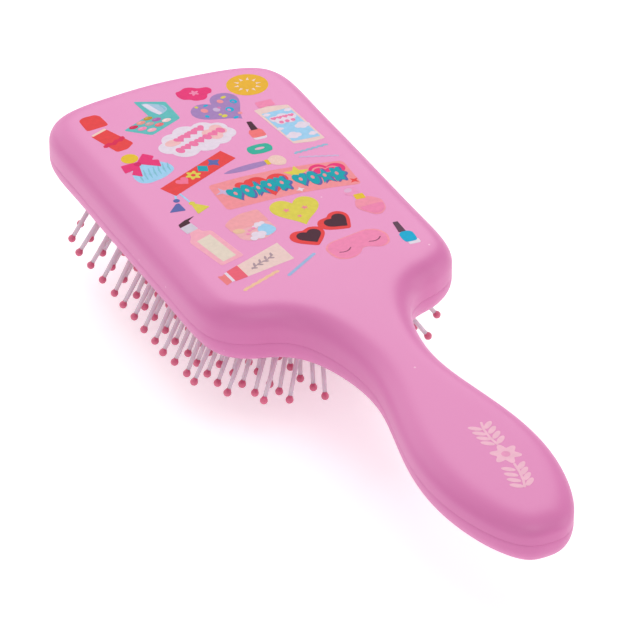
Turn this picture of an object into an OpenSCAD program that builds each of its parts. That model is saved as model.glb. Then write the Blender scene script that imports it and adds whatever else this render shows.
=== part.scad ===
// Paddle hairbrush: two-shell casing, air cushion, 17 rows of ball-tipped pins.
// Frame: X across the head, Y along the brush (handle end at -Y), Z up.
// The printed back looks up; the lowest pin tips stand on z = 0.

/* [Casing] */
// overall length of the casing along Y
brush_length = 240; // [200:1:290]
// width of the head
head_width = 77.8; // [64:0.2:94]
// length of the head from the far edge to the shoulders
head_length = 127; // [105:0.5:153]
// width of the neck at its narrowest
neck_width = 19.8; // [16:0.2:24]
// width of the handle at its widest
handle_width = 33.7; // [28:0.2:41]
// height of the flat back above the parting plane
back_height = 9.5; // [8:0.1:12]
// how much lower the back is at the handle end
handle_drop = 3.8; // [2:0.1:4.6]
// depth of the front shell below the parting plane
front_depth = 7.6; // [6.3:0.1:9.5]
// edge rounding of the back shell, measured inwards
back_round = 6.2; // [4:0.1:7.5]
// edge rounding of the front shell
front_round = 6.4; // [4:0.1:6.8]
// wall thickness of both shells
wall = 2.2; // [1.6:0.1:2.7]

/* [Cushion] */
// width of the front shell left beside the window
rim_width = 7.3; // [6.4:0.1:9]
// width of the front shell left past the window at the far edge
far_rim = 8.8; // [7:0.1:11]
// width of the front shell left before the window at the shoulders
near_rim = 5.4; // [5:0.1:8]
// corner radius of the window
window_corner = 18; // [12:0.5:22]
// how far the cushion stands out of the front shell at its crest
crest_stand = 6.6; // [4:0.1:7.4]
// crown of the cushion across its width
crown_across = 6.7; // [4:0.1:7.2]
// crown of the cushion along its length
crown_along = 6.7; // [3:0.1:7.2]
// thickness of the rubber membrane
membrane = 1.4; // [1:0.1:1.8]
// thickness of the clamped flange
flange_thick = 1.2; // [0.8:0.1:1.6]
// width of the clamped flange
flange_width = 2.2; // [1.6:0.1:2.4]
// diameter of the vent hole
vent_diameter = 2; // [1:0.1:2.6]
// gap between the cushion and the window edge
cushion_clearance = 0.1; // [0.05:0.01:0.3]

/* [Tray] */
// thickness of the tray plate behind the cushion
tray_thick = 1.4; // [1:0.1:2]
// height of the tray plate above the parting plane
tray_lift = 1.2; // [0.6:0.1:2]
// gap between the tray wall and the pocket in the front shell
tray_clearance = 0.2; // [0.1:0.01:0.4]
// diameter of the posts that hold the tray down
post_diameter = 6; // [4:0.1:8]

/* [Locating pegs] */
// diameter of the pegs that line the two shells up
peg_diameter = 3; // [2.4:0.1:3.6]
// length of the pegs below the parting plane
peg_length = 3.4; // [2.4:0.1:4]
// diameter of the bosses around the pegs
boss_diameter = 6; // [5:0.1:7]
// gap between a peg and its socket
peg_clearance = 0.1; // [0.05:0.01:0.2]

/* [Pins] */
// distance from the window edge to the outermost pin columns
pin_margin_across = 4.3; // [3.8:0.1:6]
// distance from the window edge to the first and last pin rows
pin_margin_along = 4.4; // [4:0.1:7]
// length of a pin from the cushion to the centre of its ball
pin_length = 18.2; // [15:0.1:22]
// shaft diameter at the cushion
shaft_root = 1.56; // [1.1:0.02:1.9]
// shaft diameter at the ball
shaft_end = 1.26; // [0.9:0.02:1.4]
// diameter of the ball tips
ball_diameter = 2.3; // [1.9:0.02:2.5]
// diameter of the retaining heads inside the cushion
head_diameter = 2.8; // [2.2:0.1:3.4]
// thickness of the retaining heads
head_thick = 0.8; // [0.5:0.1:1.2]
// sideways lean of the outer columns, as a slope
lean_across = 0.56; // [0.3:0.01:0.6]
// how much more the outer columns lean in the end rows
lean_flare = 0.55; // [0:0.01:0.6]
// lengthwise lean of the row nearest the handle, as a slope
lean_near = 0.48; // [0.2:0.01:0.5]
// lengthwise lean of the row nearest the far edge, as a slope
lean_far = 0.05; // [0:0.01:0.4]
// gap between a pin and its hole in the rubber
hole_clearance = 0.07; // [0.04:0.01:0.15]
// gap between a ball bore and the shaft
bore_clearance = 0.02; // [0.01:0.01:0.05]

/* [Hidden] */
$fn = 48;
rows = 17;
columns = 10;
span_steps = 3;
handle_length = brush_length - head_length;
half_head = head_width / 2;
rc = 0.35;
front_fillet = min(front_round, front_depth - 1);
socket_depth = peg_length + 0.5;
window_x = half_head - rim_width;
window_far = brush_length - far_rim;
window_near = handle_length + near_rim;
window_y = (window_far - window_near) / 2;
pad_y = (window_far + window_near) / 2;
crest_z = -front_depth - crest_stand;
radius_x = (window_x * window_x + crown_across * crown_across) / (2 * crown_across);
radius_y = (window_y * window_y + crown_along * crown_along) / (2 * crown_along);
floor_z = -front_depth + wall;
flange_z = floor_z + flange_thick;
head_gap = 0.8;
lean_bulge = 0.7;
column_pitch = 2 * (window_x - pin_margin_across) / (columns - 1);
row_pitch = 2 * (window_y - pin_margin_along) / (rows - 1);
ball_set = 0.35;
post_x = window_x * 0.633;
post_y = window_y * 0.674;
peg_places = [handle_length * 0.25, handle_length * 0.5, handle_length * 0.78];
parting_z = tip_reach();

// ---- outline of the casing: a closed uniform cubic B-spline ----
function half_ctrl() = let(
    w = half_head, a = head_length, b = handle_length,
    f = brush_length, n = neck_width / 2, g = handle_width / 2) [
  [0, f + 0.4],
  [0.355 * w, f - 0.006 * a],
  [0.815 * w, f - 0.023 * a],
  [1.015 * w, f - 0.095 * a],
  [0.995 * w, f - 0.236 * a],
  [1.002 * w, f - 0.433 * a],
  [0.995 * w, f - 0.63 * a],
  [0.995 * w, f - 0.785 * a],
  [1.003 * w, f - 0.945 * a],
  [0.728 * w, b + 0.4],
  [0.668 * w, b],
  [0.386 * w, b * 0.967],
  [0.828 * n, b * 0.743],
  [1.17 * n, b * 0.584],
  [0.997 * g, b * 0.416],
  [1.056 * g, b * 0.248],
  [0.777 * g, b * 0.086],
  [0.386 * g, b * 0.003],
  [0, -0.2]];
function mirrored(h) = concat(h, [for (i = [len(h) - 2:-1:1]) [-h[i][0], h[i][1]]]);
function basis(t) = [
  pow(1 - t, 3), 3 * t * t * t - 6 * t * t + 4,
  -3 * t * t * t + 3 * t * t + 3 * t + 1, t * t * t] / 6;
function slope(t) = [-pow(1 - t, 2), 3 * t * t - 4 * t, -3 * t * t + 2 * t + 1, t * t] / 2;
function quad(c, i) = let(n = len(c)) [c[(i + n - 1) % n], c[i], c[(i + 1) % n], c[(i + 2) % n]];
function unit(v) = v / norm(v);
function outline() = let(c = mirrored(half_ctrl())) [
  for (i = [0:len(c) - 1]) for (k = [0:span_steps - 1])
    let(q = quad(c, i), t = k / span_steps, d = slope(t) * q) [basis(t) * q, unit([-d[1], d[0]])]];
function back_at(y) = back_height
  - handle_drop * pow(max(0, 1 - y / handle_length), 1.25);

// ---- one shell: rings from the inner cap, over the lip, to the outer cap ----
function ring_z(y, s, q, inner) = let(
    h = (s > 0) ? back_at(y) : front_depth,
    c = (s > 0) ? rc * h : h - front_fillet,
    top = h - (inner ? wall : 0))
  s * ((q < 0) ? 0 : c + (top - c) * sin(q));
function ring_inset(s, q, inner) = let(
    r = (s > 0) ? back_round : front_fillet, b = inner ? wall : 0)
  b + ((q < 0) ? 0 : (r - b) * (1 - cos(q)));
function ring(o, s, q, inner) = let(d = ring_inset(s, q, inner)) [
  for (p = o) let(x = p[0][0] - p[1][0] * d, y = p[0][1] - p[1][1] * d)
    [x, y, ring_z(y, s, q, inner)]];
function flip(f, s) = (s > 0) ? f : [for (i = [len(f) - 1:-1:0]) f[i]];
module shell_body(s) {
  o = outline();
  n = len(o);
  m = n / 2;
  plan = [[90, true], [60, true], [30, true], [0, true], [-1, true],
    [-1, false], [0, false], [18, false], [36, false], [54, false], [72, false], [90, false]];
  top = len(plan) - 1;
  pts = [for (r = plan) each ring(o, s, r[0], r[1])];
  walls = [for (k = [0:top - 1]) for (i = [0:n - 1]) let(
      a = k * n + i, b = k * n + (i + 1) % n, c = b + n, d = a + n)
    each [flip([b, c, d], s), flip([b, d, a], s)]];
  caps = [for (i = [0:m - 1]) let(a = i, b = i + 1, c = (n - i - 1), d = (n - i) % n)
    (i == 0) ? [a, b, c] : (i == m - 1) ? [a, b, d] : [a, b, c, d]];
  lower = [for (f = caps) flip([for (i = [len(f) - 1:-1:0]) f[i]], s)];
  upper = [for (f = caps) flip([for (v = f) v + top * n], s)];
  polyhedron(points = pts, faces = concat(walls, lower, upper), convexity = 8);
}

// ---- rounded plate centred on the cushion ----
module plate(grow, z0, z1) {
  hx = window_x + grow;
  hy = window_y + grow;
  r = window_corner + grow;
  h = z1 - z0;
  translate([0, pad_y, z0]) {
    translate([-hx, -(hy - r), 0]) cube([2 * hx, 2 * (hy - r), h]);
    translate([-(hx - r), -hy, 0]) cube([2 * (hx - r), 2 * hy, h]);
    for (sx = [-1, 1]) for (sy = [-1, 1])
      translate([sx * (hx - r), sy * (hy - r), 0]) cylinder(r = r, h = h);
  }
}

// ---- pins: root point on the domed cushion and direction ----
function dome_z(x, y) = crest_z + radius_y
  - sqrt(pow(radius_y - radius_x + sqrt(radius_x * radius_x - x * x), 2) - y * y);
function row_y(r) = (r - (rows + 1) / 2) * row_pitch;
function col_x(c) = (c - (columns + 1) / 2) * column_pitch;
function row_skip(r) = max(0, 3 - r, r - (rows - 2));
function row_cols(r) = [for (c = [1 + row_skip(r):columns - row_skip(r)]) c];
function pin_root(r, c) = [col_x(c), row_y(r), dome_z(col_x(c), row_y(r))];
function pin_dir(r, c) = let(
    t = row_y(r) / row_y(rows), u = col_x(c) / col_x(columns),
    across = lean_across * u * (1 + lean_bulge * (1 - abs(u))) * (1 + lean_flare * t * t),
    along = ((t < 0) ? lean_near : lean_far) * t * (0.7 + 0.3 * t * t))
  unit([across, along, -1]);
function tip_reach() = ball_diameter / 2 - min([
  for (r = [1:rows]) for (c = row_cols(r)) pin_root(r, c)[2] + pin_length * pin_dir(r, c)[2]]);
module on_pin(r, c) {
  p = pin_root(r, c);
  d = pin_dir(r, c);
  translate([p[0], pad_y + p[1], p[2]])
    rotate([0, acos(d[2]), atan2(d[1], d[0])]) children();
}
module pin() {
  back = membrane + head_gap;
  total = back + pin_length - ball_set;
  translate([0, 0, -back]) cylinder(d1 = shaft_root, d2 = shaft_end, h = total);
  translate([0, 0, -back - head_thick]) cylinder(d = head_diameter, h = head_thick);
}
module ball() {
  difference() {
    translate([0, 0, pin_length]) sphere(d = ball_diameter);
    translate([0, 0, pin_length - ball_diameter])
      cylinder(d = shaft_end + 0.03 + 2 * bore_clearance, h = ball_diameter - ball_set);
  }
}
module place() {
  translate([0, -brush_length / 2, parting_z]) children();
}

// ---- sub-parts ----
module back_shell() color([0.93, 0.62, 0.78]) place() {
  shell_body(1);
  for (sx = [-1, 1]) for (sy = [-1, 1])
    translate([sx * post_x, pad_y + sy * post_y, tray_lift + tray_thick])
      cylinder(d = post_diameter, h = back_height - wall / 2 - tray_lift - tray_thick);
  for (y = peg_places) translate([0, y, 0]) {
    cylinder(d = boss_diameter, h = back_at(y) - wall / 2);
    translate([0, 0, -peg_length]) cylinder(d = peg_diameter, h = peg_length + 1);
  }
}
module front_shell() color([0.93, 0.62, 0.78]) place() difference() {
  union() {
    shell_body(-1);
    for (y = peg_places)
      translate([0, y, -front_depth + wall / 2]) cylinder(d = boss_diameter, h = front_depth - wall / 2);
  }
  plate(0, -front_depth - 1, 1);
  plate(flange_width + 2 * tray_clearance, floor_z, 1);
  for (y = peg_places) translate([0, y, -socket_depth])
    cylinder(d = peg_diameter + 2 * peg_clearance, h = socket_depth + 1);
}
module cushion_tray() color([0.95, 0.9, 0.93]) place() difference() {
  plate(flange_width + tray_clearance, flange_z, tray_lift + tray_thick);
  plate(tray_clearance, flange_z - 1, tray_lift);
}
module dome(r) {
  translate([0, pad_y, crest_z + radius_y]) rotate([0, 90, 0])
    rotate_extrude($fn = 96) translate([radius_y - radius_x, 0]) circle(r = r);
}
module air_cushion() color([0.96, 0.72, 0.83]) place() difference() {
  union() {
    intersection() {
      plate(-cushion_clearance, crest_z - 1, flange_z);
      dome(radius_x);
    }
    plate(flange_width, floor_z, flange_z);
  }
  intersection() {
    plate(-cushion_clearance - 1.5, crest_z - 1, flange_z + 1);
    union() {
      dome(radius_x - membrane);
      plate(0, flange_z - 0.01, flange_z + 2);
    }
  }
  for (r = [1:rows]) for (c = row_cols(r)) on_pin(r, c)
    translate([0, 0, -4]) cylinder(d = shaft_root + 2 * hole_clearance, h = 6);
  translate([0, pad_y + row_pitch / 2, crest_z - 1]) cylinder(d = vent_diameter, h = 4);
}
module pin_row(r) color([0.85, 0.8, 0.86]) place() for (c = row_cols(r)) on_pin(r, c) pin();
module tip_row(r) color([0.8, 0.35, 0.47]) place() for (c = row_cols(r)) on_pin(r, c) ball();
module pin_row_01() pin_row(1);
module pin_row_02() pin_row(2);
module pin_row_03() pin_row(3);
module pin_row_04() pin_row(4);
module pin_row_05() pin_row(5);
module pin_row_06() pin_row(6);
module pin_row_07() pin_row(7);
module pin_row_08() pin_row(8);
module pin_row_09() pin_row(9);
module pin_row_10() pin_row(10);
module pin_row_11() pin_row(11);
module pin_row_12() pin_row(12);
module pin_row_13() pin_row(13);
module pin_row_14() pin_row(14);
module pin_row_15() pin_row(15);
module pin_row_16() pin_row(16);
module pin_row_17() pin_row(17);
module tip_row_01() tip_row(1);
module tip_row_02() tip_row(2);
module tip_row_03() tip_row(3);
module tip_row_04() tip_row(4);
module tip_row_05() tip_row(5);
module tip_row_06() tip_row(6);
module tip_row_07() tip_row(7);
module tip_row_08() tip_row(8);
module tip_row_09() tip_row(9);
module tip_row_10() tip_row(10);
module tip_row_11() tip_row(11);
module tip_row_12() tip_row(12);
module tip_row_13() tip_row(13);
module tip_row_14() tip_row(14);
module tip_row_15() tip_row(15);
module tip_row_16() tip_row(16);
module tip_row_17() tip_row(17);

back_shell();
front_shell();
cushion_tray();
air_cushion();
pin_row_01();
pin_row_02();
pin_row_03();
pin_row_04();
pin_row_05();
pin_row_06();
pin_row_07();
pin_row_08();
pin_row_09();
pin_row_10();
pin_row_11();
pin_row_12();
pin_row_13();
pin_row_14();
pin_row_15();
pin_row_16();
pin_row_17();
tip_row_01();
tip_row_02();
tip_row_03();
tip_row_04();
tip_row_05();
tip_row_06();
tip_row_07();
tip_row_08();
tip_row_09();
tip_row_10();
tip_row_11();
tip_row_12();
tip_row_13();
tip_row_14();
tip_row_15();
tip_row_16();
tip_row_17();
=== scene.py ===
from math import cos, pi, radians, sin, sqrt

import bmesh
import bpy
import numpy as np
from mathutils import Matrix, Vector, geometry


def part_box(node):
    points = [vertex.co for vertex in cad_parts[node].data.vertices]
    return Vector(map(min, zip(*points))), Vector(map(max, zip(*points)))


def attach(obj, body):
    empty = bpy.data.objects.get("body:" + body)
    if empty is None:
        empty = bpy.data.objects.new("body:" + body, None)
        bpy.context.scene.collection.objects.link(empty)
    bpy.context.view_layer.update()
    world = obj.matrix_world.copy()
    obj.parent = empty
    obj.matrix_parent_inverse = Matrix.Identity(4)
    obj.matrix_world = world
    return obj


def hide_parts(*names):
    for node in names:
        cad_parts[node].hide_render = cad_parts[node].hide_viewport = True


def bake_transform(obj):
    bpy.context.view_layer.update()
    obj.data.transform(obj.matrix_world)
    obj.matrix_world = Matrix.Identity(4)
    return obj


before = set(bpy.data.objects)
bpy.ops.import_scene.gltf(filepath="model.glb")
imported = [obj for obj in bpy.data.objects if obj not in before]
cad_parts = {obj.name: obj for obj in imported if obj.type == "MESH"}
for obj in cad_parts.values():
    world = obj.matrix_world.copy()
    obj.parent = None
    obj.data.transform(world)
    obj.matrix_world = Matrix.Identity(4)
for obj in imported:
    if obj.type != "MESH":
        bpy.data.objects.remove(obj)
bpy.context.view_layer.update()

MM = 0.001
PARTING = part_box("front_shell")[1][2] / MM  # height of the line where the two shells meet
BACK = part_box("back_shell")[1][2] / MM  # height of the flat printed back

# ---- sizes, mm
LENGTH = 240.0
HEAD_WIDTH = 77.8
HEAD_LENGTH = 127.0
HANDLE_LENGTH = LENGTH - HEAD_LENGTH
NECK_WIDTH = 19.8
HANDLE_WIDTH = 33.7
HANDLE_DROP, HANDLE_BEND = 3.8, 1.25  # the back falls this far along the handle, in a curve
FRONT_DEPTH = 7.6
BACK_ROUND = 6.2
ROUND_SPREAD, ROUND_EASE = 1.35, 0.77  # eases the rounding into the flat back
FRONT_ROUND = 6.4
WALL = 2.2
SIDE_SHARE = 0.35
SEAM = 0.05  # half of the groove between the shells
SEAM_STEPS = ((1.6, 0), (0.6, 0.5), (0.1, 1.2))  # the groove's lip: inset and height, in seams
OUTLINE_STEPS = 10  # points along each span of the outline
SHARP = 50  # degrees; shells keep edges sharper than this crisp
RIM, FAR_RIM, NEAR_RIM = 7.3, 8.8, 5.4
WINDOW_CORNER = 18.0
LIP = 0.7  # rounding of the window's edge
CREST = 6.6
CROWN = 6.7
MEMBRANE = 1.4
FLANGE = 1.2
PAD_GAP, PAD_EDGE = 0.1, 1.1  # cushion: gap to the window, radius of its edge
PAD_SINK, SKIN_SINK = 0.15, 0.1  # skins stay this far outside the floor and the flange
FLANGE_OUT, FLANGE_IN, SKIN_IN = 2.2, 1.7, 1.9  # out from the window, and in from it
ROWS, COLUMNS = 17, 10
MARGIN_ACROSS, MARGIN_ALONG = 4.3, 4.4
PIN_LENGTH = 18.2
SHAFT_ROOT, SHAFT_END = 1.56, 1.26
SHAFT_SHORT = 0.3  # the shaft stops this far before the ball's centre
HEAD_GAP, HEAD_THICK, HEAD_RADIUS = 0.8, 0.8, 1.4
BALL = 2.3
LEAN_ACROSS, LEAN_FLARE, LEAN_BULGE = 0.56, 0.55, 0.7
LEAN_NEAR, LEAN_FAR = 0.48, 0.05
WANDER, BOW, SEED = 0.03, 0.0003, 7  # pins: random lean, bend in metres, and their seed

WINDOW_X = HEAD_WIDTH / 2 - RIM
WINDOW_FAR = LENGTH - FAR_RIM
WINDOW_NEAR = HANDLE_LENGTH + NEAR_RIM
WINDOW_Y = (WINDOW_FAR - WINDOW_NEAR) / 2
PAD_Y = (WINDOW_FAR + WINDOW_NEAR) / 2
COLUMN_PITCH = 2 * (WINDOW_X - MARGIN_ACROSS) / (COLUMNS - 1)
ROW_PITCH = 2 * (WINDOW_Y - MARGIN_ALONG) / (ROWS - 1)
CREST_Z = -FRONT_DEPTH - CREST
FLOOR_Z = -FRONT_DEPTH + WALL
CURVE_X = (WINDOW_X ** 2 + CROWN ** 2) / (2 * CROWN)
CURVE_Y = (WINDOW_Y ** 2 + CROWN ** 2) / (2 * CROWN)


# ---- mesh helpers
def to_row(points):
    """Plan millimetres (handle end at y = 0, shells meeting at z = 0) to the row frame in metres."""
    p = np.asarray(points, float).reshape(-1, 3)
    return (p + [0.0, -LENGTH / 2, PARTING]) * MM


def place(name, data):
    ob = bpy.data.objects.new(name, data)
    bpy.context.scene.collection.objects.link(ob)
    return ob


def add_piece(name, points, faces, smooth=True, sharp=None):
    """An object from plan points; sharp is the angle in degrees past which edges stay crisp."""
    mesh = bpy.data.meshes.new(name)
    mesh.from_pydata([tuple(v) for v in to_row(points)], [], [tuple(int(i) for i in f) for f in faces])
    mesh.validate()
    mesh.update()
    ob = place(name, mesh)
    mesh.shade_smooth() if smooth else mesh.shade_flat()
    if sharp is not None:
        mesh.set_sharp_from_angle(angle=radians(sharp))
    return ob


def sine(degrees):
    return sin(radians(degrees))


def cosine(degrees):
    return cos(radians(degrees))


def ring_walls(rings, n, flip=False):
    """Quads between consecutive closed rings of n points each."""
    faces = []
    for k in range(rings - 1):
        for i in range(n):
            a, b = k * n + i, k * n + (i + 1) % n
            quad = (b, b + n, a + n, a)
            faces.append(quad[::-1] if flip else quad)
    return faces


def mirror_cap(first, n, flip=False):
    """Closes a ring that is symmetric about x = 0, with strips from side to side."""
    faces = []
    for i in range(n // 2):
        a, b, c, d = i, i + 1, n - i - 1, (n - i) % n
        f = [a, b, c] if i == 0 else [a, b, d] if i == n // 2 - 1 else [a, b, c, d]
        f = [first + v for v in f]
        faces.append(f[::-1] if flip else f)
    return faces


# ---- casing outline
def casing_outline(steps):
    """Points and outward normals of the closed cubic B-spline round the whole brush."""
    w, a, b, f = HEAD_WIDTH / 2, HEAD_LENGTH, HANDLE_LENGTH, LENGTH
    n, g = NECK_WIDTH / 2, HANDLE_WIDTH / 2
    half = [
        (0, f + 0.4), (0.355 * w, f - 0.006 * a), (0.815 * w, f - 0.023 * a),
        (1.015 * w, f - 0.095 * a), (0.995 * w, f - 0.236 * a), (1.002 * w, f - 0.433 * a),
        (0.995 * w, f - 0.63 * a), (0.995 * w, f - 0.785 * a), (1.003 * w, f - 0.945 * a),
        (0.728 * w, b + 0.4), (0.668 * w, b), (0.386 * w, b * 0.967), (0.828 * n, b * 0.743),
        (1.17 * n, b * 0.584), (0.997 * g, b * 0.416), (1.056 * g, b * 0.248),
        (0.777 * g, b * 0.086), (0.386 * g, b * 0.003), (0, -0.2)]
    ctrl = np.array(half + [(-x, y) for x, y in half[-2:0:-1]])
    t = np.arange(steps) / steps
    basis = np.stack([(1 - t) ** 3, 3 * t ** 3 - 6 * t ** 2 + 4,
                      -3 * t ** 3 + 3 * t ** 2 + 3 * t + 1, t ** 3], 1) / 6
    slope = np.stack([-(1 - t) ** 2, 3 * t ** 2 - 4 * t, -3 * t ** 2 + 2 * t + 1, t ** 2], 1) / 2
    pts, nrm = [], []
    for i in range(len(ctrl)):
        q = ctrl[[(i - 1) % len(ctrl), i, (i + 1) % len(ctrl), (i + 2) % len(ctrl)]]
        d = slope @ q
        pts.append(basis @ q)
        nrm.append(np.stack([-d[:, 1], d[:, 0]], 1) / np.linalg.norm(d, axis=1)[:, None])
    return np.vstack(pts), np.vstack(nrm)


def back_at(y):
    """Height of the printed back over the parting plane, at a distance from the handle's end."""
    return BACK - PARTING - HANDLE_DROP * np.maximum(0, 1 - np.asarray(y) / HANDLE_LENGTH) ** HANDLE_BEND


def rounded_window(grow, steps=14):
    """Closed ring of the window's rounded rectangle, clockwise from above, moved outwards by grow."""
    hx, hy, r = WINDOW_X + grow, WINDOW_Y + grow, WINDOW_CORNER + grow
    ring = []
    for sx, sy, start in ((1, 1, 90), (1, -1, 0), (-1, -1, -90), (-1, 1, -180)):
        for k in range(steps + 1):
            a = radians(start - 90 * k / steps)
            ring.append((sx * (hx - r) + r * cos(a), PAD_Y + sy * (hy - r) + r * sin(a)))
        x, y = ring[-1]
        nx, ny = {(1, 1): (hx, PAD_Y - (hy - r)), (1, -1): (-(hx - r), PAD_Y - hy),
                  (-1, -1): (-hx, PAD_Y + hy - r), (-1, 1): (hx - r, PAD_Y + hy)}[(sx, sy)]
        for k in range(1, 8):
            ring.append((x + (nx - x) * k / 8, y + (ny - y) * k / 8))
    return np.array(ring)


def fill_between(outer, inner, z, up):
    """Flat region between two closed rings, as triangles."""
    n, m = len(outer), len(inner)
    verts = [Vector(p) for p in np.vstack([outer, inner])]
    edges = [(i, (i + 1) % n) for i in range(n)] + [(n + i, n + (i + 1) % m) for i in range(m)]
    out = geometry.delaunay_2d_cdt(verts, edges, [], 0, 1e-7)
    pts, tris = out[0], out[2]
    ins, outl = [tuple(p) for p in inner], [tuple(p) for p in outer]
    keep = []
    for f in tris:
        c = sum((pts[i] for i in f), Vector((0, 0))) / len(f)
        if inside(c, outl) and not inside(c, ins):
            a, b, d = (pts[i] for i in f[:3])
            turn = (b - a).cross(d - a)
            keep.append(f if (turn > 0) == up else f[::-1])
    return [(p[0], p[1], z) for p in pts], keep


def inside(c, ring):
    """Whether a point lies inside a closed ring."""
    hit, j = False, len(ring) - 1
    for i in range(len(ring)):
        (xi, yi), (xj, yj) = ring[i], ring[j]
        if (yi > c[1]) != (yj > c[1]) and c[0] < (xj - xi) * (c[1] - yi) / (yj - yi) + xi:
            hit = not hit
        j = i
    return hit


def raised(ring, z):
    """A flat ring at a height, or at a height for each point."""
    return np.column_stack([ring, np.zeros(len(ring)) + z])


def inset_ring(pts, nrm, d, z_of):
    """The outline moved inwards by d, at the heights that z_of gives."""
    p = pts - nrm * d
    return raised(p, z_of(p[:, 1]))


def weld(ob, dist=1e-6):
    """Merges touching points and turns all faces outwards."""
    bm = bmesh.new()
    bm.from_mesh(ob.data)
    bmesh.ops.remove_doubles(bm, verts=bm.verts, dist=dist)
    bmesh.ops.recalc_face_normals(bm, faces=bm.faces)
    bm.to_mesh(ob.data)
    bm.free()
    ob.data.update()
    return ob


# ---- node helpers
def rgb(r, g, b):
    """Screen colour, 0 to 255, to linear light."""
    return tuple((c / 255 / 12.92) if c <= 10 else ((c / 255 + 0.055) / 1.055) ** 2.4 for c in (r, g, b))


def group_socket(tree, name, kind, way, default=None, low=None, high=None):
    s = tree.interface.new_socket(name=name, in_out=way, socket_type=kind)
    if default is not None:
        s.default_value = default
    if low is not None:
        s.min_value, s.max_value = low, high
    return s


def link(tree, a, b):
    tree.links.new(a, b)


def node(tree, kind, inputs=None, **settings):
    """A new node: settings first, then each input joined to a socket or given a value."""
    made = tree.nodes.new(kind)
    for key, val in settings.items():
        setattr(made, key, val)
    for key, val in (inputs or {}).items():
        if isinstance(val, bpy.types.NodeSocket):
            link(tree, val, made.inputs[key])
        else:
            made.inputs[key].default_value = val
    return made


def make_surface_group():
    """Fine moulding or paint grain: colour mottle, painted glint specks, roughness that wanders, and a fine
    bump.
    """
    g = bpy.data.node_groups.new("fine_surface", "ShaderNodeTree")
    group_socket(g, "Colour", "NodeSocketColor", "INPUT", (0.8, 0.4, 0.6, 1))
    for name, val, hi in (("Mottle", 0.04, 1), ("Mottle Scale", 60, 5000), ("Grain Scale", 1500, 20000),
                          ("Grain Depth", 0.1, 1), ("Roughness", 0.45, 1), ("Roughness Spread", 0.06, 1),
                          ("Glint Specks", 0.0, 1)):
        group_socket(g, name, "NodeSocketFloat", "INPUT", val, 0, hi)
    for name, kind in (("Colour", "Color"), ("Roughness", "Float"), ("Normal", "Vector")):
        group_socket(g, name, "NodeSocket" + kind, "OUTPUT")
    given = node(g, "NodeGroupInput").outputs
    where = node(g, "ShaderNodeTexCoord").outputs["Object"]

    def maths(operation, *values):
        return node(g, "ShaderNodeMath", dict(enumerate(values)), operation=operation).outputs[0]

    # mottle: brightness wanders a little either side of the colour
    soft = node(g, "ShaderNodeTexNoise", {"Detail": 4, "Vector": where, "Scale": given["Mottle Scale"]})
    span = node(g, "ShaderNodeMapRange", {
        "From Min": 0.3, "From Max": 0.7, "Value": soft.outputs["Fac"],
        "To Min": maths("SUBTRACT", 1.0, given["Mottle"]), "To Max": maths("ADD", 1.0, given["Mottle"])})
    tint = node(g, "ShaderNodeVectorMath", {0: given["Colour"], "Scale": span.outputs["Result"]},
                operation="SCALE")
    # glint specks: rare pale dots painted into the colour, painted highlights that stand in for small glints
    dots = node(g, "ShaderNodeTexVoronoi", {"Scale": 260, "Vector": where})
    near = node(g, "ShaderNodeMapRange", {
        "From Min": 0.1, "From Max": 0.03, "Value": dots.outputs["Distance"]})
    rare = node(g, "ShaderNodeSeparateColor", {"Color": dots.outputs["Color"]})
    few = maths("GREATER_THAN", rare.outputs["Red"], 0.93)
    amount = maths("MULTIPLY", maths("MULTIPLY", near.outputs["Result"], few), given["Glint Specks"])
    mix = node(g, "ShaderNodeMix", {"B": (0.95, 0.82, 0.88, 1), "Factor": amount, "A": tint.outputs[0]},
               data_type="RGBA")
    # roughness wanders with the mottle, and fine noise makes the grain
    rough = maths("MULTIPLY_ADD", maths("SUBTRACT", soft.outputs["Fac"], 0.5), given["Roughness Spread"],
                  given["Roughness"])
    fine = node(g, "ShaderNodeTexNoise", {"Detail": 2, "Vector": where, "Scale": given["Grain Scale"]})
    bump = node(g, "ShaderNodeBump", {
        "Distance": 0.00005, "Strength": given["Grain Depth"], "Height": fine.outputs["Fac"]})
    node(g, "NodeGroupOutput", {"Colour": mix.outputs["Result"], "Roughness": rough,
                                "Normal": bump.outputs["Normal"]})
    return g


SURFACE = make_surface_group()


def make_finish(name, colour, mottle=0.03, mottle_scale=60, grain=1500, depth=0.12, rough=0.45, spread=0.08,
                glint_specks=0.0, **shader):
    """A material fed by the shared surface group; colour is a colour or an attribute's name."""
    mat = bpy.data.materials.new(name)
    mat.use_nodes = True
    t = mat.node_tree
    shade = t.nodes["Principled BSDF"]
    if isinstance(colour, str):
        source = node(t, "ShaderNodeAttribute", attribute_name=colour).outputs["Color"]
    else:
        source = (*colour, 1)
    surface = node(t, "ShaderNodeGroup", {
        "Colour": source, "Mottle": mottle, "Mottle Scale": mottle_scale, "Grain Scale": grain,
        "Grain Depth": depth, "Roughness": rough, "Roughness Spread": spread, "Glint Specks": glint_specks},
        node_tree=SURFACE)
    for made, wanted in (("Colour", "Base Color"), ("Roughness", "Roughness"), ("Normal", "Normal")):
        link(t, surface.outputs[made], shade.inputs[wanted])
    for key, val in shader.items():
        shade.inputs[key.replace("_", " ")].default_value = val
    return mat


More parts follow.
